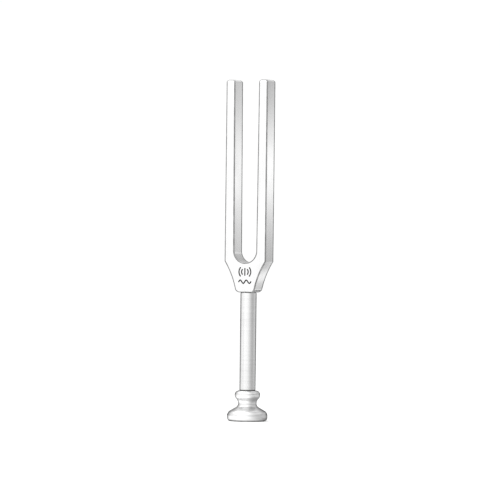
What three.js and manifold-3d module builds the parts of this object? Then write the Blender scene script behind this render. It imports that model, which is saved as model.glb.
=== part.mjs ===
// A clinical tuning fork for the pitch of 512 Hz. Two flat prongs rise from a tapered yoke, which is one
// piece of steel bar with them. A round stem screws into the yoke, and a turned foot screws on the stem.
//
// Millimetres, +Z up along the stem. The origin is the centre of the foot's flat base, +X runs across the
// prongs, and the front of the fork looks towards -Y.
import * as THREE from "three";
import { mergeVertices } from "three/addons/utils/BufferGeometryUtils.js";
import Module from "manifold-3d";

const wasm = await Module();
wasm.setup();

// ---- Driving dimensions, in millimetres and degrees ----

// The head: prongs and yoke. Heights are above the yoke's base.
const HEAD = {
  width: 22.5, // across both prongs, the same from the shoulder to the tips
  depth: 9.5, // from the front face to the back face
  slotRoot: 12, // width of the slot where it runs into its round bottom
  slotMouth: 13, // width of the slot between the tips
  slotDepth: 91.2,
  yokeHeight: 14.8, // up to the bottom of the slot
  shoulderHeight: 15.5, // up to where the flanks of the yoke begin
  baseWidth: 10,
  flankRadius: 43, // the hollow curve of each flank
  baseRound: 2.2, // lower corners, seen from the front
  heelRound: 1.5, // lower corners, seen from the side
  tipRound: 1.4, // the tips' corners, seen from the front and from the side
  edgeBreak: 0.3, // chamfer along the edges of the front and back faces
};

// The stem: a plain rod with a threaded spigot on each end.
const STEM = {
  radius: 4,
  length: 48.8, // between the two shoulders
  edgeBreak: 0.25,
  spigotLength: 7,
  reliefRadius: 1.9, // groove between each shoulder and its thread
  reliefWidth: 1,
  endChamfer: 0.6,
};

// The foot: a turned base with a rounded rim, a waist and a bead under the stem. Heights are above its base.
const FOOT = {
  height: 15.2,
  baseRound: 1.8,
  rimRadius: 10.1,
  rimHeight: 2.6, // where the shoulder above the rim begins
  rimRound: 3, // radius of that shoulder
  flankAngle: 60, // of the straight flank, from the vertical
  waistRadius: 4.6,
  waistHeight: 8.8,
  beadRadius: 6.35,
  beadRound: 2.9, // radius of the bead below its widest ring
  crownRound: 2.1, // radius of the bead above it
};

// The screwed joints: a metric thread of 5 mm with a pitch of 0.8 mm.
const THREAD = {
  majorRadius: 2.5,
  pitch: 0.8,
  clearance: 0.1, // between a spigot and its tapped hole, on the radius
  holeDepth: 8.5, // of full diameter, before the drill's point
  tappedDepth: 7.6,
  mouthRadius: 2.65, // of the countersink at the hole's mouth
  drillPoint: 118,
};

// Fineness of the round surfaces.
const TURNED_SIDES = 48;
const THREAD_SIDES = 20;
const ARC_STEP = 12; // degrees

const CUT = 1; // how far a cutting solid reaches past the face that it cuts

// ---- Helpers ----

const { degToRad } = THREE.MathUtils;

// Points along an arc round a centre, with its two ends. Angles are in degrees.
function arc(centreX, centreY, radius, from, to) {
  const steps = Math.max(2, Math.ceil(Math.abs(to - from) / ARC_STEP));
  const points = [];
  for (let i = 0; i <= steps; i += 1) {
    const angle = degToRad(from + ((to - from) * i) / steps);
    points.push(new THREE.Vector2(centreX + radius * Math.cos(angle), centreY + radius * Math.sin(angle)));
  }
  return points;
}

// A closed geometry as a solid that can be joined and cut.
function toSolid(geometry) {
  const bare = new THREE.BufferGeometry();
  bare.setAttribute("position", geometry.getAttribute("position"));
  bare.setIndex(geometry.getIndex());
  const merged = mergeVertices(bare, 1e-4);
  const vertProperties = new Float32Array(merged.getAttribute("position").array);
  const triVerts = new Uint32Array(merged.getIndex().array);
  return new wasm.Manifold(new wasm.Mesh({ numProp: 3, vertProperties, triVerts }));
}

// A solid as a geometry whose facets share their vertices.
function toGeometry(solid) {
  const { vertProperties, triVerts } = solid.getMesh();
  const geometry = new THREE.BufferGeometry();
  geometry.setAttribute("position", new THREE.BufferAttribute(vertProperties, 3));
  geometry.setIndex(new THREE.BufferAttribute(triVerts, 1));
  return geometry;
}

// A solid lifted by a height, and upside down first if turn is pi. A screw keeps its hand when it is turned.
function placed(solid, turn, height) {
  return toSolid(toGeometry(solid).rotateX(turn).translate(0, 0, height));
}

// A profile of (radius, height) points, from the axis up to the axis again, turned round the Z axis.
function turned(profile, sides) {
  const points = profile.map(([radius, height]) => new THREE.Vector2(radius, height));
  return new THREE.LatheGeometry(points, sides).rotateX(Math.PI / 2);
}

// The form of the thread over one pitch, as [share of the pitch, radius]: a flat root, a flank, a flat
// crest, and the other flank down to the next root.
function threadForm() {
  const { majorRadius, pitch } = THREAD;
  const flankHeight = (5 / 8) * pitch * Math.sin(degToRad(60));
  const rootRadius = majorRadius - flankHeight;
  return [
    [0, rootRadius],
    [1 / 4, rootRadius],
    [9 / 16, majorRadius],
    [11 / 16, majorRadius],
  ];
}

// A right-handed screw round the Z axis that reaches past the heights low and high. Its root is at angle 0
// and height 0, so a spigot and a hole that start from the same face are in mesh. Each column of points
// stands a little higher than the one before it, and the last one meets the first a pitch further up.
function screw(low, high, grow) {
  const { pitch } = THREAD;
  const form = threadForm();
  const perPitch = form.length;
  const start = pitch * (Math.floor(low / pitch) - 1);
  const turns = Math.ceil((high - start) / pitch) + 1;
  const perColumn = perPitch * turns;
  const positions = [];
  for (let column = 0; column < THREAD_SIDES; column += 1) {
    const share = column / THREAD_SIDES;
    const angle = 2 * Math.PI * share;
    for (let j = 0; j < perColumn; j += 1) {
      const [along, radius] = form[j % perPitch];
      const height = start + pitch * (share + Math.floor(j / perPitch) + along);
      positions.push((radius + grow) * Math.cos(angle), (radius + grow) * Math.sin(angle), height);
    }
  }
  const point = (column, j) => (column < THREAD_SIDES ? column * perColumn + j : j + perPitch);
  const faces = [];
  for (let column = 0; column < THREAD_SIDES; column += 1) {
    const rows = column < THREAD_SIDES - 1 ? perColumn - 1 : perColumn - 1 - perPitch;
    for (let j = 0; j < rows; j += 1) {
      const corners = [point(column, j), point(column + 1, j), point(column + 1, j + 1), point(column, j + 1)];
      faces.push(corners[0], corners[1], corners[2], corners[0], corners[2], corners[3]);
    }
  }

  // Each end is a fan to a point on the axis, over the last row and the step of one pitch in it.
  const lowRim = [];
  const highRim = [];
  for (let column = 0; column < THREAD_SIDES; column += 1) {
    lowRim.push(point(column, 0));
    highRim.push(point(column, perColumn - 1));
  }
  for (let j = 0; j < perPitch; j += 1) {
    lowRim.push(point(0, perPitch - j));
    highRim.push(point(THREAD_SIDES - 1, perColumn - 2 - j));
  }
  const lowApex = positions.length / 3;
  const highApex = lowApex + 1;
  positions.push(0, 0, start - pitch, 0, 0, start + pitch * (turns + 2));
  lowRim.forEach((p, i) => faces.push(lowRim[(i + 1) % lowRim.length], p, lowApex));
  highRim.forEach((p, i) => faces.push(p, highRim[(i + 1) % highRim.length], highApex));

  const geometry = new THREE.BufferGeometry();
  geometry.setAttribute("position", new THREE.Float32BufferAttribute(positions, 3));
  geometry.setIndex(faces);
  return geometry;
}

// A threaded spigot that stands up from a shoulder at height 0, and reaches a little down into it.
function spigot() {
  const { spigotLength, reliefRadius, reliefWidth, endChamfer } = STEM;
  const outside = THREAD.majorRadius + CUT;
  const endRadius = THREAD.majorRadius - endChamfer;
  const envelope = [
    [0, -CUT],
    [reliefRadius, -CUT],
    [reliefRadius, reliefWidth],
    [outside, reliefWidth + outside - reliefRadius],
    [outside, spigotLength - (outside - endRadius)],
    [endRadius, spigotLength],
    [0, spigotLength],
  ];
  const rod = toSolid(screw(0, spigotLength, 0));
  return rod.intersect(toSolid(turned(envelope, THREAD_SIDES)));
}

// The solid that cuts a tapped blind hole upwards from a face at height 0.
function tappedHole() {
  const { holeDepth, tappedDepth, mouthRadius, drillPoint, clearance } = THREAD;
  const coreRadius = threadForm()[0][1] + clearance;
  const outside = THREAD.majorRadius + CUT;
  const core = [
    [0, -CUT],
    [mouthRadius + CUT, -CUT],
    [coreRadius, mouthRadius - coreRadius],
    [coreRadius, holeDepth],
    [0, holeDepth + coreRadius / Math.tan(degToRad(drillPoint / 2))],
  ];
  const tapped = [
    [0, -CUT],
    [outside, -CUT],
    [outside, tappedDepth],
    [0, tappedDepth],
  ];
  const thread = toSolid(screw(-CUT, tappedDepth, clearance));
  const threadPart = thread.intersect(toSolid(turned(tapped, THREAD_SIDES)));
  return threadPart.add(toSolid(turned(core, THREAD_SIDES)));
}

// ---- Pieces ----

// The front outline of the head, in (x, height).
function headOutline() {
  const halfWidth = HEAD.width / 2;
  const halfBase = HEAD.baseWidth / 2;
  const top = HEAD.yokeHeight + HEAD.slotDepth;
  const slotRadius = HEAD.slotRoot / 2;

  // The flank is an arc through the base's corner and the shoulder, hollow towards the outside.
  const chord = new THREE.Vector2(halfWidth - halfBase, HEAD.shoulderHeight);
  const outwards = new THREE.Vector2(chord.y, -chord.x).normalize();
  const reach = Math.sqrt(HEAD.flankRadius ** 2 - chord.lengthSq() / 4);
  const centre = new THREE.Vector2(halfBase, 0).addScaledVector(chord, 0.5).addScaledVector(outwards, reach);

  // The round of the base's corner touches the base and the flank.
  const roundX = centre.x - Math.sqrt((HEAD.flankRadius + HEAD.baseRound) ** 2 - (centre.y - HEAD.baseRound) ** 2);
  const touch = THREE.MathUtils.radToDeg(Math.atan2(centre.y - HEAD.baseRound, centre.x - roundX));
  const shoulder = THREE.MathUtils.radToDeg(Math.atan2(HEAD.shoulderHeight - centre.y, halfWidth - centre.x));

  const tipHeight = top - HEAD.tipRound;
  const right = [
    ...arc(roundX, HEAD.baseRound, HEAD.baseRound, -90, touch),
    ...arc(centre.x, centre.y, HEAD.flankRadius, 180 + touch, shoulder).slice(1),
    ...arc(halfWidth - HEAD.tipRound, tipHeight, HEAD.tipRound, 0, 90),
    ...arc(HEAD.slotMouth / 2 + HEAD.tipRound, tipHeight, HEAD.tipRound, 90, 180),
    ...arc(0, HEAD.yokeHeight + slotRadius, slotRadius, 0, -90),
  ];
  const left = right.slice(0, -1).reverse();
  return new THREE.Shape([...right, ...left.map((p) => new THREE.Vector2(-p.x, p.y))]);
}

// The side outline of the head, in (y, height).
function headSideOutline() {
  const halfDepth = HEAD.depth / 2;
  const top = HEAD.yokeHeight + HEAD.slotDepth;
  const { heelRound, tipRound } = HEAD;
  return new THREE.Shape([
    ...arc(halfDepth - heelRound, heelRound, heelRound, -90, 0),
    ...arc(halfDepth - tipRound, top - tipRound, tipRound, 0, 90),
    ...arc(tipRound - halfDepth, top - tipRound, tipRound, 90, 180),
    ...arc(heelRound - halfDepth, heelRound, heelRound, 180, 270),
  ]);
}

// Prongs and yoke: the bar cut to its front outline, then rounded to its side outline, then tapped.
function forkHead() {
  const front = new THREE.ExtrudeGeometry(headOutline(), {
    depth: HEAD.depth - 2 * HEAD.edgeBreak,
    bevelThickness: HEAD.edgeBreak,
    bevelSize: HEAD.edgeBreak,
    bevelOffset: -HEAD.edgeBreak,
    bevelSegments: 1,
  });
  front.translate(0, 0, HEAD.edgeBreak - HEAD.depth / 2).rotateX(Math.PI / 2);

  const side = new THREE.ExtrudeGeometry(headSideOutline(), { depth: HEAD.width + 2 * CUT, bevelEnabled: false });
  side.translate(0, 0, -HEAD.width / 2 - CUT).rotateX(Math.PI / 2).rotateZ(Math.PI / 2);

  return toSolid(front).intersect(toSolid(side)).subtract(tappedHole());
}

// The rod between its two shoulders, with a spigot on each end. Its lower shoulder is at height 0.
function stem() {
  const { radius, length, edgeBreak } = STEM;
  const rod = [
    [0, 0],
    [radius - edgeBreak, 0],
    [radius, edgeBreak],
    [radius, length - edgeBreak],
    [radius - edgeBreak, length],
    [0, length],
  ];
  const upper = placed(spigot(), 0, length);
  const lower = placed(spigot(), Math.PI, 0);
  return toSolid(turned(rod, TURNED_SIDES)).add(upper).add(lower);
}

// The foot's profile is a chain of arcs that run smoothly into each other, with one straight flank.
function footProfile() {
  const { height, baseRound, rimRadius, rimHeight, rimRound, flankAngle, waistRadius, waistHeight } = FOOT;
  const { beadRadius, beadRound, crownRound } = FOOT;
  const slope = degToRad(flankAngle);

  // The hollow under the waist has the radius that lets it touch the flank and the waist.
  const drop = (waistHeight - rimHeight) * Math.sin(slope) - (rimRadius - waistRadius) * Math.cos(slope);
  const lowHollow = drop / (1 - Math.cos(slope)) - rimRound;

  // The hollow over the waist has the radius that lets it run into the bead.
  const beadHeight = height - crownRound;
  const out = beadRadius - waistRadius;
  const up = beadHeight - waistHeight;
  const bothRadii = (out ** 2 + up ** 2) / (2 * out);
  const highHollow = bothRadii - beadRound;
  const turn = THREE.MathUtils.radToDeg(Math.acos((bothRadii - out) / bothRadii));

  const outline = [
    ...arc(rimRadius - baseRound, baseRound, baseRound, -90, 0),
    ...arc(rimRadius - rimRound, rimHeight, rimRound, 0, flankAngle),
    ...arc(waistRadius + lowHollow, waistHeight, lowHollow, 180 + flankAngle, 180),
    ...arc(waistRadius + highHollow, waistHeight, highHollow, 180, 180 - turn).slice(1),
    ...arc(beadRadius - beadRound, beadHeight, beadRound, -turn, 0).slice(1),
    ...arc(beadRadius - crownRound, beadHeight, crownRound, 0, 90).slice(1),
  ];
  return [[0, 0], ...outline.map((p) => [p.x, p.y]), [0, height]];
}

// The foot, with a tapped hole down from its top.
function foot() {
  const hole = placed(tappedHole(), Math.PI, FOOT.height);
  return toSolid(turned(footProfile(), TURNED_SIDES)).subtract(hole);
}

// ---- Assembly ----

function steel(color, roughness) {
  return new THREE.MeshStandardMaterial({ color, roughness, metalness: 1 });
}

function piece(name, solid, material) {
  const facets = toGeometry(solid).toNonIndexed();
  facets.computeVertexNormals();
  const mesh = new THREE.Mesh(facets, material);
  mesh.name = name;
  return mesh;
}

const footMesh = piece("foot", foot(), steel(0xd6d7d8, 0.28));
const stemMesh = piece("stem", stem(), steel(0xd2d3d4, 0.32));
const headMesh = piece("fork_head", forkHead(), steel(0xdadbdc, 0.36));

// The stem stands on the foot, and the head on the stem.
stemMesh.position.z = FOOT.height;
headMesh.position.z = STEM.length;
stemMesh.add(headMesh);

const tuningFork = new THREE.Group();
tuningFork.name = "tuning_fork";
tuningFork.add(footMesh, stemMesh);

export default tuningFork;
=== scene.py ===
"""The looks of the tuning fork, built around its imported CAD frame.

Metres, +Z up along the stem, the marked front face towards -Y. All three pieces are rebuilt here with true
round surfaces and softly broken edges, in the space that their CAD solids hold.
"""
import math

import bmesh
import bpy
from mathutils import Matrix, Vector

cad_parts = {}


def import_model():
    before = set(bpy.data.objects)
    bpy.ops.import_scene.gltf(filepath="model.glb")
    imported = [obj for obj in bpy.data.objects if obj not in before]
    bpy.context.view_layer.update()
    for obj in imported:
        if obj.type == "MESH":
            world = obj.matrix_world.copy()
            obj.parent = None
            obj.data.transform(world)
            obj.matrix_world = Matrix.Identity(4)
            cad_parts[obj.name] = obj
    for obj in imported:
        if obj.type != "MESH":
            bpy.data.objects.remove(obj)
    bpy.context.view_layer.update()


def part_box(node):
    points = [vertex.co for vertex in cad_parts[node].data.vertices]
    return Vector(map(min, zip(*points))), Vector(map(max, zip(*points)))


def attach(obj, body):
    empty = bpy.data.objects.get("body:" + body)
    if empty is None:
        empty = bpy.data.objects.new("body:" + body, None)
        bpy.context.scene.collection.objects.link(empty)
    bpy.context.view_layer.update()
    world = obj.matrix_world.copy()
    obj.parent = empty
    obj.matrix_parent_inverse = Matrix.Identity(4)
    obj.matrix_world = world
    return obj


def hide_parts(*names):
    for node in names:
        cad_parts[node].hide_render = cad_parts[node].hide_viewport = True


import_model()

# ---- Sizes: from the frame, and the shapes' own driving dimensions in millimetres and degrees ----

MM = 0.001

head_low, head_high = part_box("fork_head")
_, stem_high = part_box("stem")
_, foot_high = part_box("foot")

HALF_WIDTH = head_high.x
HALF_DEPTH = head_high.y
HEAD_BASE = head_low.z
HEAD_HEIGHT = head_high.z - head_low.z
STEM_RADIUS = stem_high.x
STEM_BASE = foot_high.z  # height of the seam between the foot and the stem
SPIGOT_LENGTH = stem_high.z - head_low.z
RIM_RADIUS = foot_high.x

# The head, with heights above its own base.
SLOT_RADIUS = 6.0 * MM
HALF_MOUTH = 6.5 * MM
YOKE_HEIGHT = 14.8 * MM
SHOULDER_HEIGHT = 15.5 * MM
HALF_BASE = 5.0 * MM
FLANK_RADIUS = 43.0 * MM
SHOULDER_ROUND = 0.8 * MM
BASE_ROUND = 2.2 * MM
HEEL_ROUND = 1.5 * MM
TIP_ROUND = 1.4 * MM
EDGE_ROUND = 0.26 * MM  # the broken edges of the front and back faces

# A painted dark line of shade runs along each side of a broken edge: its width, and that with its fading.
# The lines beside the rear edges are the widest.
FACE_LINE = (0.16 * MM, 0.46 * MM)
FRONT_SIDE_LINE = (0.04 * MM, 0.2 * MM)
REAR_SIDE_LINE = (0.65 * MM, 1.1 * MM)
RIDGE_SHADE = 0.5  # how much painted shade is left on the ridge between the two lines
SLOT_SHADE = 0.2  # how much painted shade lies on the slot's round bottom, to dull its highlight

# The stem's ends, and the foot.
STEM_CHAMFER = 0.3 * MM
FOOT_BASE_ROUND = 1.8 * MM
RIM_HEIGHT = 2.6 * MM
RIM_ROUND = 3.0 * MM
FLANK_ANGLE = 60.0
WAIST_RADIUS = 4.6 * MM
WAIST_HEIGHT = 8.8 * MM
BEAD_RADIUS = 6.35 * MM
BEAD_ROUND = 2.9 * MM
CROWN_ROUND = 2.1 * MM

# The screwed joints, with heights that run from a joint's seam into its hole.
THREAD_RADIUS = 2.5 * MM
THREAD_PITCH = 0.8 * MM
THREAD_ANGLE = 60.0
THREAD_DEPTH = 5 / 8 * THREAD_PITCH * math.sin(math.radians(THREAD_ANGLE))
THREAD_CLEARANCE = 0.1 * MM
RELIEF_RADIUS = 1.9 * MM
RELIEF_WIDTH = 1.0 * MM
HOLE_DEPTH = 8.5 * MM
TAPPED_DEPTH = 7.6 * MM
MOUTH_RADIUS = 2.65 * MM
DRILL_POINT = 118.0

# The thread's form in shares of its pitch: a flat root, a flank, a flat crest and a flank again.
ROOT_END = 1 / 4
FLANK_SHARE = 5 / 16
CREST_END = 11 / 16

# The mark on the yoke: a sounding bar between arcs, over a sine wave. Heights are above the head's base.
MARK_DEPTH = 0.22 * MM
STROKE = 0.68 * MM
BAR_CENTRE = 10.3 * MM
BAR_LENGTH = 4.0 * MM
SOUND_RADII = (1.8 * MM, 3.2 * MM)
SOUND_HALF_ANGLE = 40.0
WAVE_CENTRE = 5.4 * MM
WAVE_LENGTH = 3.3 * MM
WAVE_COUNT = 2
WAVE_HEIGHT = 0.8 * MM

# Fineness.
ARC_STEP = 4.0
EDGE_STEPS = 4
CAP_STEPS = 8  # round each end of a stroke of the mark
WAVE_STEPS = 24  # along each wave of the mark
TURNED_SIDES = 128
THREAD_STEP = 0.08 * MM
SAME_PLACE = 0.0001 * MM


# ---- Meshes ----

def finished(name, bm, materials):
    """Puts an object made of the bmesh into the scene. The bmesh is used up."""
    mesh = bpy.data.meshes.new(name)
    bm.normal_update()
    bm.to_mesh(mesh)
    bm.free()
    for material in materials:
        mesh.materials.append(material)
    piece = bpy.data.objects.new(name, mesh)
    bpy.context.scene.collection.objects.link(piece)
    return piece


def apply_modifiers(piece):
    """Replaces the piece's mesh by what its modifiers make of it."""
    graph = bpy.context.evaluated_depsgraph_get()
    evaluated = piece.evaluated_get(graph)
    mesh = bpy.data.meshes.new_from_object(evaluated, preserve_all_data_layers=True, depsgraph=graph)
    piece.modifiers.clear()
    old = piece.data
    piece.data = mesh
    bpy.data.meshes.remove(old)
    mesh.name = piece.name


def weigh_normals(piece):
    """Shades the piece smooth, with normals that the large faces keep flat."""
    piece.data.polygons.foreach_set("use_smooth", [True] * len(piece.data.polygons))
    modifier = piece.modifiers.new("normals", "WEIGHTED_NORMAL")
    modifier.keep_sharp = True
    apply_modifiers(piece)


def arc_angles(start, end):
    """The angles of the points along an arc, in radians. Start and end are in degrees."""
    count = max(2, math.ceil(abs(end - start) / ARC_STEP))
    return [math.radians(start + (end - start) * i / count) for i in range(count + 1)]


def arc(centre_x, centre_z, radius, start, end):
    """Points along an arc in a plane, with its two ends. Start and end are in degrees."""
    angles = arc_angles(start, end)
    return [(centre_x + radius * math.cos(a), centre_z + radius * math.sin(a)) for a in angles]


def turned(name, rows, material):
    """A lathe-turned piece round the Z axis. Each row is (radius, height), from axis to axis, and its radius
    is one number or a list with a number for each side."""
    bm = bmesh.new()
    rings = []
    for radii, height in rows:
        if isinstance(radii, (int, float)):
            radii = [radii] * TURNED_SIDES
        if max(radii) < SAME_PLACE:
            rings.append([bm.verts.new((0, 0, height))])
            continue
        ring = []
        for i, radius in enumerate(radii):
            angle = 2 * math.pi * i / TURNED_SIDES
            ring.append(bm.verts.new((radius * math.cos(angle), radius * math.sin(angle), height)))
        rings.append(ring)
    for low, high in zip(rings, rings[1:]):
        for i in range(TURNED_SIDES):
            j = (i + 1) % TURNED_SIDES
            corners = [low[i % len(low)], low[j % len(low)], high[j % len(high)], high[i % len(high)]]
            bm.faces.new(list(dict.fromkeys(corners)))
    bmesh.ops.remove_doubles(bm, verts=bm.verts, dist=SAME_PLACE)
    return finished(name, bm, [material])


# ---- The screwed joints ----

def thread_radius(turn, height):
    """The radius of the right-handed thread after a share of a turn: a flat root, a flank up, a flat crest,
    and a flank down over each pitch."""
    phase = (height / THREAD_PITCH - turn) % 1.0
    rise = min(max((phase - ROOT_END) / FLANK_SHARE, 0.0), 1.0)
    fall = min(max((phase - CREST_END) / FLANK_SHARE, 0.0), 1.0)
    return THREAD_RADIUS - THREAD_DEPTH * (1 - rise + fall)


def spigot_radius(turn, height):
    """The thread between the groove at the shoulder and the chamfer at the end."""
    groove = RELIEF_RADIUS + max(0.0, height - RELIEF_WIDTH)
    chamfer = RELIEF_RADIUS + SPIGOT_LENGTH - height
    return min(thread_radius(turn, height), groove, chamfer)


def hole_radius(turn, height):
    """The tapped wall inside the countersink at the hole's mouth."""
    return max(thread_radius(turn, height) + THREAD_CLEARANCE, MOUTH_RADIUS - height)


def joint_rows(shape, length, base, up):
    """Rows of a shape from a joint's seam at height base into the hole, which runs up or, if up is -1, down.
    A screw keeps its hand when it is turned upside down."""
    count = round(length / THREAD_STEP)
    rows = []
    for i in range(count + 1):
        height = length * i / count
        radii = [shape(up * side / TURNED_SIDES, height) for side in range(TURNED_SIDES)]
        rows.append((radii, base + up * height))
    return rows


def hole_rows(base, up):
    """Rows of a tapped blind hole, from its mouth to the drill's point on the axis."""
    core = THREAD_RADIUS - THREAD_DEPTH + THREAD_CLEARANCE
    tip = HOLE_DEPTH + core / math.tan(math.radians(DRILL_POINT / 2))
    return [
        *joint_rows(hole_radius, TAPPED_DEPTH, base, up),
        (core, base + up * TAPPED_DEPTH),
        (core, base + up * HOLE_DEPTH),
        (0, base + up * tip),
    ]


# ---- The head ----

def arc_stations(centre_x, centre_z, radius, start, end, side):
    """Stations of the outline on an arc. Side is 1 where the metal is inside the arc, and -1 outside it."""
    return [(centre_x, centre_z, radius, angle, side) for angle in arc_angles(start, end)]


def head_stations():
    """The right half of the front outline, from the base up round a tip and down to the slot's bottom, as
    one list of stations for each of its parts."""
    chord = Vector((HALF_WIDTH - HALF_BASE, SHOULDER_HEIGHT))
    outwards = Vector((chord.y, -chord.x)).normalized()
    reach = math.sqrt(FLANK_RADIUS ** 2 - chord.length_squared / 4)
    centre = Vector((HALF_BASE, 0)) + chord / 2 + outwards * reach

    # The rounds at the base and at the shoulder both touch the flank's arc from inside the metal.
    round_x = centre.x - math.sqrt((FLANK_RADIUS + BASE_ROUND) ** 2 - (centre.y - BASE_ROUND) ** 2)
    touch = math.degrees(math.atan2(centre.y - BASE_ROUND, centre.x - round_x))
    shoulder_x = HALF_WIDTH - SHOULDER_ROUND
    shoulder_z = centre.y + math.sqrt((FLANK_RADIUS + SHOULDER_ROUND) ** 2 - (centre.x - shoulder_x) ** 2)
    shoulder = math.degrees(math.atan2(shoulder_z - centre.y, shoulder_x - centre.x))

    tip_z = HEAD_HEIGHT - TIP_ROUND
    slot_z = YOKE_HEIGHT + SLOT_RADIUS
    return {
        "base": arc_stations(round_x, BASE_ROUND, BASE_ROUND, -90, touch, 1),
        "flank": arc_stations(centre.x, centre.y, FLANK_RADIUS, 180 + touch, shoulder, -1)[1:-1],
        "shoulder": arc_stations(shoulder_x, shoulder_z, SHOULDER_ROUND, shoulder - 180, 0, 1),
        "tip_out": arc_stations(HALF_WIDTH - TIP_ROUND, tip_z, TIP_ROUND, 0, 90, 1),
        "tip_in": arc_stations(HALF_MOUTH + TIP_ROUND, tip_z, TIP_ROUND, 90, 180, 1),
        "slot": arc_stations(0, slot_z, SLOT_RADIUS, 0, -90, -1),
    }


def half_depth(height):
    """Half the head's depth at a height above its base, with the rounds of the heel and the tips."""
    depth = HALF_DEPTH
    for radius, into in ((HEEL_ROUND, HEEL_ROUND - height), (TIP_ROUND, height - HEAD_HEIGHT + TIP_ROUND)):
        if into > 0:
            depth += math.sqrt(max(0.0, radius ** 2 - into ** 2)) - radius
    return depth


def head_rows():
    """The rows of vertices from the front face round the outline's edge to the back face, as the inset from
    the outline, the distance behind the face, the side (-1 front, 1 back) and how much painted shade the row
    has."""
    def half(side, side_line):
        rows = [(EDGE_ROUND + FACE_LINE[1], 0.0, side, 0.0), (EDGE_ROUND + FACE_LINE[0], 0.0, side, 1.0)]
        for i in range(EDGE_STEPS + 1):
            angle = math.pi / 2 * (1 - i / EDGE_STEPS)
            inset = EDGE_ROUND * (1 - math.cos(angle))
            behind = EDGE_ROUND * (1 - math.sin(angle))
            rows.append((inset, behind, side, 1.0 - (1.0 - RIDGE_SHADE) * math.sin(2 * angle)))
        rows.append((0.0, EDGE_ROUND + side_line[0], side, 1.0))
        rows.append((0.0, EDGE_ROUND + side_line[1], side, 0.0))
        return rows

    return half(-1, FRONT_SIDE_LINE) + half(1, REAR_SIDE_LINE)[::-1]


def head_loop(stations, inset):
    """The whole closed outline at an inset into the metal, counter-clockwise as seen from the front."""
    right = []
    for centre_x, centre_z, radius, angle, side in stations:
        reach = radius - side * inset
        right.append((centre_x + reach * math.cos(angle), centre_z + reach * math.sin(angle)))
    return right + [(-x, z) for x, z in reversed(right[:-1])]


def head_face(parts):
    """The faces that fill the outline, as lists of loop indices: rungs across the rounded base and tips, and
    one large flat face between them."""
    counts = {name: len(part) for name, part in parts.items()}
    total = sum(counts.values())
    last = 2 * total - 2
    base_end = counts["base"] - 1
    out_start = counts["base"] + counts["flank"] + counts["shoulder"]
    rungs = counts["tip_out"] - 1
    in_start = out_start + rungs + 1
    in_end = in_start + rungs
    faces = [[k, k + 1, last - k - 1, last - k] for k in range(base_end)]
    for j in range(rungs):
        rung = [out_start + j, out_start + j + 1, in_end - j - 1, in_end - j]
        faces.append(rung)
        faces.append([last - k for k in reversed(rung)])
    flat = list(range(base_end, out_start + 1))
    flat += list(range(in_end, last - in_end + 1))
    flat += list(range(last - out_start, last - base_end + 1))
    faces.append(flat)
    return faces


def fork_head(materials):
    """Prongs and yoke as one closed mesh, before the mark is cut."""
    parts = head_stations()
    stations = [station for part in parts.values() for station in part]
    slot_start = len(stations) - len(parts["slot"])
    slot_end = slot_start + 2 * len(parts["slot"]) - 2
    bm = bmesh.new()
    shade_layer = bm.verts.layers.float.new("shade_and_patina")
    rows = []
    for inset, behind, side, shade_and_patina in head_rows():
        row = []
        for k, (x, z) in enumerate(head_loop(stations, inset)):
            vertex = bm.verts.new((x, side * (half_depth(z) - behind), z + HEAD_BASE))
            # The slot's round bottom gets painted shade that dulls its highlight.
            in_slot = inset == 0 and slot_start < k < slot_end
            vertex[shade_layer] = max(shade_and_patina, SLOT_SHADE) if in_slot else shade_and_patina
            row.append(vertex)
        rows.append(row)
    count = len(rows[0])
    for near, far in zip(rows, rows[1:]):
        for k in range(count):
            n = (k + 1) % count
            bm.faces.new((near[k], far[k], far[n], near[n]))
    for face in head_face(parts):
        bm.faces.new([rows[0][k] for k in face])
        bm.faces.new([rows[-1][k] for k in reversed(face)])
    return finished("fork_head_visual", bm, materials)


def cut(piece, cutter):
    """Cuts the cutter out of the piece. The cut faces keep the cutter's material."""
    modifier = piece.modifiers.new("cut", "BOOLEAN")
    modifier.operation = "DIFFERENCE"
    modifier.solver = "EXACT"
    modifier.material_mode = "TRANSFER"
    modifier.object = cutter
    apply_modifiers(piece)
    bpy.data.objects.remove(cutter)


# ---- The mark ----

def stroke_outline(path):
    """The outline of a round-ended stroke along a path of (x, z) points."""
    half = STROKE / 2
    points = [Vector(p) for p in path]
    left, right = [], []
    for i, point in enumerate(points):
        along = (points[min(i + 1, len(points) - 1)] - points[max(i - 1, 0)]).normalized()
        across = Vector((-along.y, along.x)) * half
        left.append(point + across)
        right.append(point - across)

    def cap(end, start):
        offset = start - end
        turns = [math.pi * i / CAP_STEPS for i in range(1, CAP_STEPS)]
        return [end + Matrix.Rotation(-turn, 2) @ offset for turn in turns]

    return left + cap(points[-1], left[-1]) + right[::-1] + cap(points[0], right[0])


def mark_paths():
    """The strokes of the mark, as paths of (x, z) points on the front face."""
    half = BAR_LENGTH / 2 - STROKE / 2
    paths = [[(0, BAR_CENTRE - half), (0, BAR_CENTRE + half)]]
    for radius in SOUND_RADII:
        right = arc(0, BAR_CENTRE, radius, -SOUND_HALF_ANGLE, SOUND_HALF_ANGLE)
        paths.append(right)
        paths.append([(-x, z) for x, z in right])
    steps = WAVE_STEPS * WAVE_COUNT
    wave = []
    for i in range(steps + 1):
        share = i / steps
        x = (share - 0.5) * WAVE_LENGTH * WAVE_COUNT
        wave.append((x, WAVE_CENTRE + WAVE_HEIGHT * math.sin(2 * math.pi * WAVE_COUNT * share)))
    paths.append(wave)
    return paths


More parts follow.
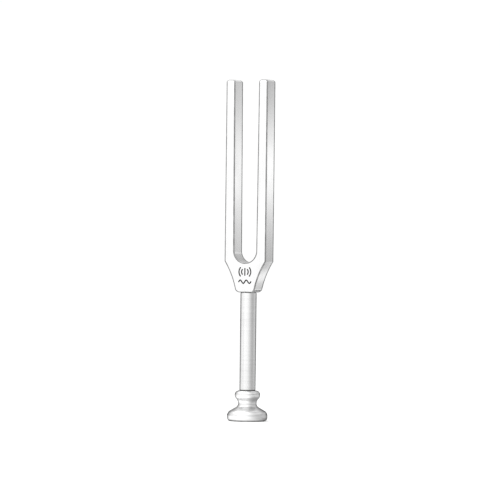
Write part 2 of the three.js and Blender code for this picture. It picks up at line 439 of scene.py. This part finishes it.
def cut_mark(head, enamel):
    """Cuts the mark into the head's front face. The cut faces take the enamel, and their edges are sharp."""
    bm = bmesh.new()
    proud = -HALF_DEPTH - MARK_DEPTH
    deep = -HALF_DEPTH + MARK_DEPTH
    for path in mark_paths():
        outline = stroke_outline(path)
        front = [bm.verts.new((p.x, proud, p.y + HEAD_BASE)) for p in outline]
        back = [bm.verts.new((p.x, deep, p.y + HEAD_BASE)) for p in outline]
        bm.faces.new(front)
        bm.faces.new(back[::-1])
        for i in range(len(outline)):
            j = (i + 1) % len(outline)
            bm.faces.new((front[j], front[i], back[i], back[j]))
    bmesh.ops.recalc_face_normals(bm, faces=bm.faces)
    cut(head, finished("mark_cutter", bm, [enamel]))

    bm = bmesh.new()
    bm.from_mesh(head.data)
    enamel_index = head.data.materials.find(enamel.name)
    for edge in bm.edges:
        if any(face.material_index == enamel_index for face in edge.link_faces):
            edge.smooth = False
    bm.to_mesh(head.data)
    bm.free()


# ---- The stem and the foot ----

def stem_rows():
    """The rod between its two chamfered shoulders, with a threaded spigot on each end."""
    edge = STEM_RADIUS - STEM_CHAMFER
    return [
        (0, STEM_BASE - SPIGOT_LENGTH),
        *joint_rows(spigot_radius, SPIGOT_LENGTH, STEM_BASE, -1)[::-1],
        (edge, STEM_BASE),
        (STEM_RADIUS, STEM_BASE + STEM_CHAMFER),
        (STEM_RADIUS, HEAD_BASE - STEM_CHAMFER),
        (edge, HEAD_BASE),
        *joint_rows(spigot_radius, SPIGOT_LENGTH, HEAD_BASE, 1),
        (0, HEAD_BASE + SPIGOT_LENGTH),
    ]


def foot_rows():
    """The tapped foot. Its outline is a chain of arcs that run smoothly into each other, with one straight
    flank."""
    slope = math.radians(FLANK_ANGLE)
    fall = (WAIST_HEIGHT - RIM_HEIGHT) * math.sin(slope) - (RIM_RADIUS - WAIST_RADIUS) * math.cos(slope)
    low_hollow = fall / (1 - math.cos(slope)) - RIM_ROUND
    bead_height = STEM_BASE - CROWN_ROUND
    out = BEAD_RADIUS - WAIST_RADIUS
    up = bead_height - WAIST_HEIGHT
    both_radii = (out ** 2 + up ** 2) / (2 * out)
    high_hollow = both_radii - BEAD_ROUND
    turn = math.degrees(math.acos((both_radii - out) / both_radii))
    outline = [
        *arc(RIM_RADIUS - FOOT_BASE_ROUND, FOOT_BASE_ROUND, FOOT_BASE_ROUND, -90, 0),
        *arc(RIM_RADIUS - RIM_ROUND, RIM_HEIGHT, RIM_ROUND, 0, FLANK_ANGLE),
        *arc(WAIST_RADIUS + low_hollow, WAIST_HEIGHT, low_hollow, 180 + FLANK_ANGLE, 180),
        *arc(WAIST_RADIUS + high_hollow, WAIST_HEIGHT, high_hollow, 180, 180 - turn)[1:],
        *arc(BEAD_RADIUS - BEAD_ROUND, bead_height, BEAD_ROUND, -turn, 0)[1:],
        *arc(BEAD_RADIUS - CROWN_ROUND, bead_height, CROWN_ROUND, 0, 90)[1:],
    ]
    return [(0, 0), *outline, *hole_rows(STEM_BASE, -1)]


# ---- Materials ----

# The noises on the steel, in features per metre along each axis.
SMUDGE_SCALE = (90, 90, 60)
HAZE_SCALE = (420, 420, 300)
BROAD_GRAIN = 0.22  # the scale of the broad grain beside that of the fine one

# How the noises are mixed, and which span of each is stretched over the whole range.
FINE_SHARE = 0.6  # of the grain; the rest is the broad grain
GRAIN_SHARE = 0.65  # of the tone; the rest is smudges
GRAIN_SPAN = (0.3, 0.7)
TONE_SPAN = (0.32, 0.68)
HAZE_SPAN = (0.3, 0.6)
SMUDGE_SPAN = (0.45, 0.7)

# What they do to the surface.
CLEAN_TONES = (0.74, 0.90)
# The colour of the painted shade at edges and seams, and of the patina in the foot's waist.
SHADE_AND_PATINA_TONE = 0.10
LEAST_COVER = 0.78  # how dense the darkening is where it is thinnest
SMUDGE_ROUGHNESS = 0.06
SHADE_AND_PATINA_ROUGHNESS = 0.12
GRAIN_HEIGHT = 0.02 * MM
FULL_DARK_SHARE = 0.5  # of the reach of the darkening round a circle, before it begins to fade

# The enamel in the mark.
FLECK_SCALE = (2600, 2600, 2600)
FLECK_TONE_SPAN = (0.35, 0.7)
FLECK_ROUGH_SPAN = (0.3, 0.7)
ENAMEL_TONES = (0.008, 0.04)
ENAMEL_ROUGHNESS = (0.45, 0.7)
FLECK_RELIEF = 0.3
FLECK_HEIGHT = 0.03 * MM


class Shader:
    """A material's node tree, with short calls to add nodes and join them."""

    def __init__(self, name):
        self.material = bpy.data.materials.new(name)
        self.material.use_nodes = True
        self.tree = self.material.node_tree
        self.surface = self.tree.nodes["Principled BSDF"]

    def add(self, kind, inputs=(), **settings):
        node = self.tree.nodes.new(kind)
        for key, value in settings.items():
            setattr(node, key, value)
        for key, value in dict(inputs).items():
            self.feed(node.inputs[key], value)
        return node

    def feed(self, socket, value):
        if isinstance(value, bpy.types.NodeSocket):
            self.tree.links.new(value, socket)
        else:
            socket.default_value = value

    def math(self, operation, a, b=0.0, clamp=False):
        node = self.add("ShaderNodeMath", operation=operation, use_clamp=clamp)
        for socket, value in zip(node.inputs, (a, b)):
            self.feed(socket, value)
        return node.outputs[0]

    def blend(self, share, first, second):
        """A share of the first value, and the rest of the second."""
        return self.math("ADD", self.math("MULTIPLY", first, share), self.math("MULTIPLY", second, 1 - share))

    def length(self, across, along):
        """The length of the sloping side of a right-angled triangle."""
        squares = [self.math("MULTIPLY", side, side) for side in (across, along)]
        return self.math("SQRT", self.math("ADD", *squares))

    def cylindrical(self, place):
        """The distance from the Z axis, and the height."""
        x, y, z = self.add("ShaderNodeSeparateXYZ", {"Vector": place}).outputs
        return self.length(x, y), z

    def noise(self, vector, scale, detail):
        """Noise over a vector in metres that is first scaled along each axis, in features per metre."""
        mapping = self.add("ShaderNodeMapping", {"Vector": vector, "Scale": scale})
        node = self.add("ShaderNodeTexNoise", {"Vector": mapping.outputs[0], "Scale": 1.0, "Detail": detail})
        return node.outputs["Fac"]

    def spread(self, value, low, high, to_low=0.0, to_high=1.0):
        """Maps low..high onto to_low..to_high, and clamps it."""
        node = self.add("ShaderNodeMapRange", {"Value": value, "From Min": low, "From Max": high})
        node.inputs["To Min"].default_value = to_low
        node.inputs["To Max"].default_value = to_high
        return node.outputs[0]

    def mix(self, share, first, second):
        node = self.add("ShaderNodeMix", data_type="RGBA")
        colours = [socket for socket in node.inputs if socket.type == "RGBA"]
        self.feed(node.inputs[0], share)
        self.feed(colours[0], first)
        self.feed(colours[1], second)
        return next(socket for socket in node.outputs if socket.type == "RGBA")


def grey(value):
    return (value, value, value, 1.0)


def steel(name, grain_scale, round_the_axis, shade_and_patina, relief, satin, edge_tint):
    """Satin nickel-plated steel. The fine grain follows grain_scale, in features per metre; round_the_axis
    turns it into tool lines round the Z axis; the third argument is a function that gives the socket of how
    much a place is darkened by painted shade and by patina; relief is the strength of the grain's bump; satin
    is the least and the greatest roughness; and edge_tint is how bright the metal mirrors where it turns away
    from the eye."""
    shader = Shader(name)
    place = shader.add("ShaderNodeTexCoord").outputs["Object"]
    grain_place = place
    if round_the_axis:
        radius, height = shader.cylindrical(place)
        grain_place = shader.add("ShaderNodeCombineXYZ", {"X": radius, "Z": height}).outputs[0]

    fine = shader.noise(grain_place, grain_scale, detail=3.0)
    broad = shader.noise(grain_place, [scale * BROAD_GRAIN for scale in grain_scale], detail=1.0)
    smudge = shader.noise(place, SMUDGE_SCALE, detail=3.0)
    haze = shader.noise(place, HAZE_SCALE, detail=2.0)

    grain = shader.blend(FINE_SHARE, fine, broad)
    tone = shader.blend(GRAIN_SHARE, grain, smudge)
    clean = shader.mix(shader.spread(tone, *TONE_SPAN), *map(grey, CLEAN_TONES))

    cover = shader.spread(haze, *HAZE_SPAN, LEAST_COVER, 1.0)
    # Painted shade at the head's edges, slot and seams and at the foot's base, and patina in the foot's
    # waist, darken the clean colour here.
    shade_and_patina_mask = shader.math("MULTIPLY", shade_and_patina(shader, place), cover, clamp=True)
    colour = shader.mix(shade_and_patina_mask, clean, grey(SHADE_AND_PATINA_TONE))
    shader.feed(shader.surface.inputs["Base Color"], colour)

    rough = shader.spread(grain, *GRAIN_SPAN, *satin)
    handled = shader.math("MULTIPLY", shader.spread(smudge, *SMUDGE_SPAN), SMUDGE_ROUGHNESS)
    rough = shader.math("ADD", rough, handled)
    rough = shader.math("ADD", rough, shader.math("MULTIPLY", shade_and_patina_mask, SHADE_AND_PATINA_ROUGHNESS))
    shader.feed(shader.surface.inputs["Roughness"], rough)

    bump = shader.add("ShaderNodeBump", {"Height": grain, "Strength": relief, "Distance": GRAIN_HEIGHT})
    shader.feed(shader.surface.inputs["Normal"], bump.outputs[0])
    shader.surface.inputs["Metallic"].default_value = 1.0
    shader.surface.inputs["Specular Tint"].default_value = grey(edge_tint)
    return shader.material


def painted_edge_shade(shader, place):
    """Painted shade from the mesh's own attribute: dark lines along the head's edges, and a darker slot
    bottom.
    """
    return shader.add("ShaderNodeAttribute", attribute_name="shade_and_patina").outputs["Fac"]


def near_circles(*circles):
    """Darkening round circles about the Z axis: painted shade at seams and round the base, and patina. Each
    is (radius, height, reach, density).
    """
    def shade_and_patina(shader, place):
        distance, z = shader.cylindrical(place)
        total = 0.0
        for radius, height, reach, density in circles:
            out = shader.math("SUBTRACT", distance, radius)
            up = shader.math("SUBTRACT", z, height)
            away = shader.length(out, up)
            ring_darkening = shader.spread(away, reach * FULL_DARK_SHARE, reach, density, 0.0)
            total = shader.math("ADD", total, ring_darkening)
        return total
    return shade_and_patina


def dark_enamel():
    """The dull dark paint in the mark."""
    shader = Shader("mark_enamel")
    place = shader.add("ShaderNodeTexCoord").outputs["Object"]
    flecks = shader.noise(place, FLECK_SCALE, detail=3.0)
    colour = shader.mix(shader.spread(flecks, *FLECK_TONE_SPAN), *map(grey, ENAMEL_TONES))
    shader.feed(shader.surface.inputs["Base Color"], colour)
    rough = shader.spread(flecks, *FLECK_ROUGH_SPAN, *ENAMEL_ROUGHNESS)
    shader.feed(shader.surface.inputs["Roughness"], rough)
    bump = shader.add(
        "ShaderNodeBump", {"Height": flecks, "Strength": FLECK_RELIEF, "Distance": FLECK_HEIGHT})
    shader.feed(shader.surface.inputs["Normal"], bump.outputs[0])
    return shader.material


# ---- The pieces ----

ground = steel(
    "ground_steel_look", grain_scale=(2400, 2400, 28), round_the_axis=False, shade_and_patina=painted_edge_shade,
    relief=0.12, satin=(0.16, 0.22), edge_tint=1.0)
drawn = steel(
    "drawn_steel_look", grain_scale=(60, 60, 2600), round_the_axis=True,
    shade_and_patina=near_circles(
        # Painted shade at the seams with the foot and with the head.
        (STEM_RADIUS, STEM_BASE, 0.6 * MM, 1.0),
        (STEM_RADIUS, HEAD_BASE, 0.14 * MM, 1.0)),
    relief=0.12, satin=(0.16, 0.24), edge_tint=0.1)
polished = steel(
    "turned_steel_look", grain_scale=(1900, 1900, 1900), round_the_axis=True,
    shade_and_patina=near_circles(
        # Painted shade at the seam with the stem and round the foot's base by the floor; the faint third ring
        # is patina in the waist.
        (STEM_RADIUS, STEM_BASE, 0.35 * MM, 1.0),
        (RIM_RADIUS - FOOT_BASE_ROUND, 0.0, 1.9 * MM, 1.0),
        (WAIST_RADIUS, WAIST_HEIGHT + MM, 3.6 * MM, 0.09)),
    relief=0.08, satin=(0.27, 0.34), edge_tint=0.1)
enamel = dark_enamel()

head = fork_head([ground])
below = HEAD_BASE - MM  # the hole's cutter starts clear of the head
cut(head, turned("hole_cutter", [(0, below), (MOUTH_RADIUS, below), *hole_rows(HEAD_BASE, 1)], ground))
cut_mark(head, enamel)
stem = turned("stem_visual", stem_rows(), drawn)
foot = turned("foot_visual", foot_rows(), polished)
for piece in (head, stem, foot):
    weigh_normals(piece)

for piece, node, slot in ((head, "fork_head", "ground_steel"),
                          (stem, "stem", "drawn_steel"),
                          (foot, "foot", "turned_steel")):
    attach(piece, "root")
    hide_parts(node)


# ---- The stage: a pale floor, and the studio that the metal mirrors ----

FLOOR_RADIUS = 8.0
FLOOR_SIDES = 96
FLOOR_DRIFT_SCALE = (3, 3, 3)  # features per metre of its faint clouds
FLOOR_TONES = (0.78, 0.80)
FLOOR_GLOW = 0.23
WORLD_GLOW = 1.02

# The studio is a round tent with a ground and a ceiling. These lengths are in millimetres, and so are the
# heights and distances in the plots.
TENT_RADIUS = 300
TENT_TOP = 340
GROUND_LIFT = 0.05  # height of the ground above the floor
DISC_HOLE = 0.1  # radius of the hole in the middle of the ground and of the ceiling
GRID_STEP = 10
GRID_COLUMNS = 120
TENT_HEIGHTS = range(0, TENT_TOP + 1, GRID_STEP)
DISC_DISTANCES = range(0, TENT_RADIUS + 1, GRID_STEP)

# How bright the tent is: at each azimuth, in degrees from the front towards +X, the levels at heights. The
# plots start at the back, at -180, and end there again. In the main view, the prongs' right sides mirror
# the rows from 149 to 162.
PILLARS = {
    -180: [(70, 0.06), (95, 0.52), (250, 0.55), (340, 1.0)],
    -155: [(70, 0.06), (95, 0.45), (200, 0.7), (340, 0.9)],
    -120: [(70, 0.10), (95, 0.50), (200, 0.8), (340, 1.0)],
    -112: [(70, 0.35), (95, 0.70), (200, 0.9), (340, 1.0)],
    -100: [(70, 0.75), (95, 0.90), (190, 1.0), (240, 1.4), (340, 1.4)],
    -87: [(70, 0.94), (190, 1.0), (240, 1.5), (340, 1.5)],
    -65: [(70, 1.14), (190, 1.14), (240, 1.7), (340, 1.7)],
    -56: [(190, 1.17), (240, 1.7), (340, 1.7)],
    -50: [(20, 0.98), (90, 1.05), (130, 1.2), (190, 1.2), (240, 1.7), (340, 1.7)],
    -40: [(20, 0.98), (90, 1.05), (130, 1.2), (190, 1.2), (240, 1.8), (340, 1.8)],
    -34: [(190, 1.23), (240, 1.8), (340, 1.8)],
    -25: [(190, 1.25), (240, 1.8), (340, 1.8)],
    20: [(190, 1.12), (240, 1.6), (340, 1.6)],
    43: [(70, 0.86), (190, 0.84), (230, 1.1), (340, 1.1)],
    57: [(70, 0.71), (100, 0.62), (190, 0.6), (230, 1.1), (340, 1.1)],
    73: [(70, 0.59), (100, 0.50), (190, 0.5), (230, 1.1), (340, 1.1)],
    89: [(70, 0.52), (100, 0.46), (190, 0.5), (230, 1.1), (340, 1.1)],
    106: [(70, 0.60), (100, 0.46), (190, 0.5), (230, 1.1), (340, 1.1)],
    127: [(70, 0.73), (95, 0.50), (190, 0.5), (230, 1.1), (340, 1.1)],
    143: [(70, 0.75), (95, 0.50), (190, 0.5), (230, 1.0), (340, 1.1)],
    149: [(0, 0.60), (16, 0.60), (30, 0.62), (64, 0.62), (80, 0.27), (92, 0.36), (105, 0.75),
          (116, 1.15), (128, 1.45), (142, 1.45), (154, 0.95), (164, 0.62), (174, 0.40), (188, 0.25),
          (240, 0.4), (340, 0.8)],
    153: [(0, 0.57), (16, 0.55), (26, 0.51), (62, 0.52), (76, 0.47), (92, 0.59), (105, 0.88),
          (116, 1.21), (128, 1.42), (142, 1.30), (154, 0.90), (164, 0.68), (174, 0.54), (188, 0.38),
          (240, 0.5), (340, 0.8)],
    157: [(0, 0.55), (16, 0.50), (26, 0.42), (62, 0.43), (76, 0.75), (92, 0.88), (105, 1.06),
          (116, 1.40), (128, 1.70), (142, 1.75), (154, 1.50), (164, 1.30), (174, 1.18), (188, 1.10),
          (240, 0.6), (340, 0.9)],
    159: [(0, 0.55), (16, 0.48), (26, 0.37), (62, 0.38), (76, 0.85), (92, 0.95), (105, 0.85),
          (128, 0.75), (154, 0.75), (188, 0.80), (240, 0.62), (340, 0.9)],
    162: [(0, 0.55), (16, 0.45), (26, 0.30), (62, 0.30), (76, 0.80), (92, 0.90), (105, 0.80),
          (128, 0.70), (154, 0.60), (188, 0.70), (240, 0.65), (340, 0.9)],
    172: [(0, 0.30), (26, 0.06), (70, 0.06), (95, 0.60), (250, 0.70), (340, 1.0)],
}

# The levels all across the ground's rear right, which the yoke's right flank mirrors in the main view.
REAR_RIGHT = [(40, 0.80), (80, 0.80), (130, 0.60), (172, 0.10), (190, 0.22), (200, 0.5), (210, 0.85),
              (225, 1.3), (248, 1.5), (265, 1.0), (285, 0.70), (300, 0.6)]

# How bright the ground is: at each azimuth, the levels at distances from the axis.
SPOKES = {
    -180: [(170, 0.25), (190, 0.50), (225, 1.0), (300, 1.0)],
    -120: [(10, 0.55), (300, 0.8)],
    -90: [(10, 0.95), (20, 1.50), (60, 1.50), (100, 1.0)],
    -60: [(10, 1.20), (20, 1.90), (55, 1.90), (70, 0.95), (110, 0.95), (140, 1.2)],
    10: [(10, 1.20), (20, 1.80), (55, 1.80), (70, 0.95), (110, 0.95), (140, 1.2)],
    43: [(10, 0.90), (20, 1.20), (60, 1.20), (100, 0.9)],
    60: [(30, 0.70), (45, 1.10), (100, 1.10), (150, 0.5)],
    90: [(30, 0.45), (45, 1.00), (105, 1.00), (145, 0.28), (190, 0.28), (220, 0.45), (300, 0.5)],
    140: [(30, 0.40), (45, 1.00), (105, 1.00), (145, 0.28), (190, 0.28), (220, 0.45), (300, 0.5)],
    150: REAR_RIGHT,
    175: REAR_RIGHT,
}

# How bright the ceiling on the tent is, in the same way.
CEILING = {
    -180: [(0, 1.9), (300, 1.5)],
    -100: [(0, 2.0), (300, 1.8)],
    -40: [(0, 2.2), (300, 2.0)],
    20: [(0, 2.0), (300, 1.8)],
    50: [(0, 1.4), (300, 1.3)],
    80: [(0, 0.7), (300, 0.5)],
    140: [(0, 0.7), (300, 0.5)],
}


def between(x, points):
    """The value at x on the line through (x, value) points, held level beyond its ends."""
    for (x0, v0), (x1, v1) in zip(points, points[1:]):
        if x <= x1:
            share = (max(x, x0) - x0) / (x1 - x0)
            return v0 + (v1 - v0) * share
    return points[-1][1]


def level(plot, azimuth, place):
    """The brightness of a lighting plot at an azimuth and a height or distance."""
    levels = [(a, between(place, points)) for a, points in plot.items()]
    back = levels[0][1]
    return between(azimuth, [*levels, (180, back)])


def glow_material(name):
    """A material that shines as brightly as the mesh's glow attribute says."""
    material = bpy.data.materials.new(name)
    material.use_nodes = True
    tree = material.node_tree
    tree.nodes.clear()
    out = tree.nodes.new("ShaderNodeOutputMaterial")
    emission = tree.nodes.new("ShaderNodeEmission")
    glow = tree.nodes.new("ShaderNodeAttribute")
    glow.attribute_name = "glow"
    tree.links.new(glow.outputs["Fac"], emission.inputs["Strength"])
    tree.links.new(emission.outputs[0], out.inputs["Surface"])
    return material


def only_mirrored(thing):
    """The camera and the floor don't see it, and it casts no shadow: only the metal mirrors it."""
    thing.visible_camera = False
    thing.visible_diffuse = False
    thing.visible_shadow = False
    thing.visible_transmission = False
    thing.visible_volume_scatter = False


def glowing_grid(name, plot, places, corner):
    """A surface round the Z axis whose vertices glow as the plot says. Corner gives the point at a place,
    as its distance from the axis and its height in millimetres."""
    bm = bmesh.new()
    glow_layer = bm.verts.layers.float.new("glow")
    rows = []
    for place in places:
        distance, height = [length * MM for length in corner(place)]
        row = []
        for i in range(GRID_COLUMNS):
            azimuth = -180 + 360 * i / GRID_COLUMNS
            a = math.radians(azimuth)
            vertex = bm.verts.new((distance * math.sin(a), -distance * math.cos(a), height))
            vertex[glow_layer] = level(plot, azimuth, place)
            row.append(vertex)
        rows.append(row)
    for low, high in zip(rows, rows[1:]):
        for i in range(GRID_COLUMNS):
            j = (i + 1) % GRID_COLUMNS
            bm.faces.new((low[i], low[j], high[j], high[i]))
    thing = finished(name, bm, [glow_material(name + "_glow")])
    only_mirrored(thing)


def floor():
    """A matt white disc that glows a little, so that it renders as plain white as the world behind it."""
    shader = Shader("floor_white")
    place = shader.add("ShaderNodeTexCoord").outputs["Object"]
    drift = shader.noise(place, FLOOR_DRIFT_SCALE, detail=2.0)
    colour = shader.mix(drift, *map(grey, FLOOR_TONES))
    shader.feed(shader.surface.inputs["Base Color"], colour)
    shader.surface.inputs["Roughness"].default_value = 0.9
    shader.surface.inputs["Specular IOR Level"].default_value = 0.0
    shader.surface.inputs["Emission Color"].default_value = grey(1.0)
    shader.surface.inputs["Emission Strength"].default_value = FLOOR_GLOW
    bm = bmesh.new()
    bmesh.ops.create_circle(bm, cap_ends=True, radius=FLOOR_RADIUS, segments=FLOOR_SIDES)
    thing = finished("floor", bm, [shader.material])
    thing.visible_glossy = False


def world():
    """An even white all round, which is the background."""
    scene = bpy.context.scene
    scene.world = bpy.data.worlds.new("studio")
    scene.world.use_nodes = True
    background = scene.world.node_tree.nodes["Background"]
    background.inputs["Color"].default_value = (1, 1, 1, 1)
    background.inputs["Strength"].default_value = WORLD_GLOW


def softbox(name, azimuth, elevation, distance, size, power):
    """A round lamp that faces the head's base. The metal doesn't mirror it."""
    light = bpy.data.lights.new(name, "AREA")
    light.shape = "DISK"
    light.size = size
    light.energy = power
    thing = bpy.data.objects.new(name, light)
    target = Vector((0, 0, HEAD_BASE))
    a, e = math.radians(azimuth), math.radians(elevation)
    direction = Vector((math.sin(a) * math.cos(e), -math.cos(a) * math.cos(e), math.sin(e)))
    thing.location = target + direction * distance
    thing.rotation_euler = direction.to_track_quat("Z", "Y").to_euler()
    bpy.context.scene.collection.objects.link(thing)
    thing.visible_camera = False
    thing.visible_glossy = False


# ---- Camera ----

CAMERA_AZIMUTH = 24.5
CAMERA_DISTANCE = 1.73
CAMERA_LENS = 250.0
CAMERA_ROLL = 0.67
AIM_HEIGHT = 85.2 * MM
AIM_SIDE = 0.45 * MM


def camera():
    """The camera of the main view. It looks level at the fork, rolled a little as the picture leans."""
    data = bpy.data.cameras.new("camera")
    data.lens = CAMERA_LENS
    data.sensor_width = 36.0
    data.clip_start = 0.01
    data.clip_end = 50.0
    thing = bpy.data.objects.new("camera", data)
    a = math.radians(CAMERA_AZIMUTH)
    back = Vector((math.sin(a), -math.cos(a), 0))
    right = Vector((math.cos(a), math.sin(a), 0))
    thing.location = back * CAMERA_DISTANCE + Vector((0, 0, AIM_HEIGHT)) + right * AIM_SIDE
    turn = back.to_track_quat("Z", "Y").to_matrix() @ Matrix.Rotation(math.radians(CAMERA_ROLL), 3, "Z")
    thing.rotation_euler = turn.to_euler()
    bpy.context.scene.collection.objects.link(thing)
    bpy.context.scene.camera = thing


world()
floor()
glowing_grid("tent", PILLARS, TENT_HEIGHTS, lambda height: (TENT_RADIUS, height))
glowing_grid("ground", SPOKES, DISC_DISTANCES, lambda distance: (max(distance, DISC_HOLE), GROUND_LIFT))
glowing_grid("ceiling", CEILING, DISC_DISTANCES, lambda distance: (max(distance, DISC_HOLE), TENT_TOP))
softbox("key", azimuth=-50, elevation=55, distance=0.9, size=0.5, power=3.0)
camera()
bpy.context.scene.view_settings.view_transform = "Standard"
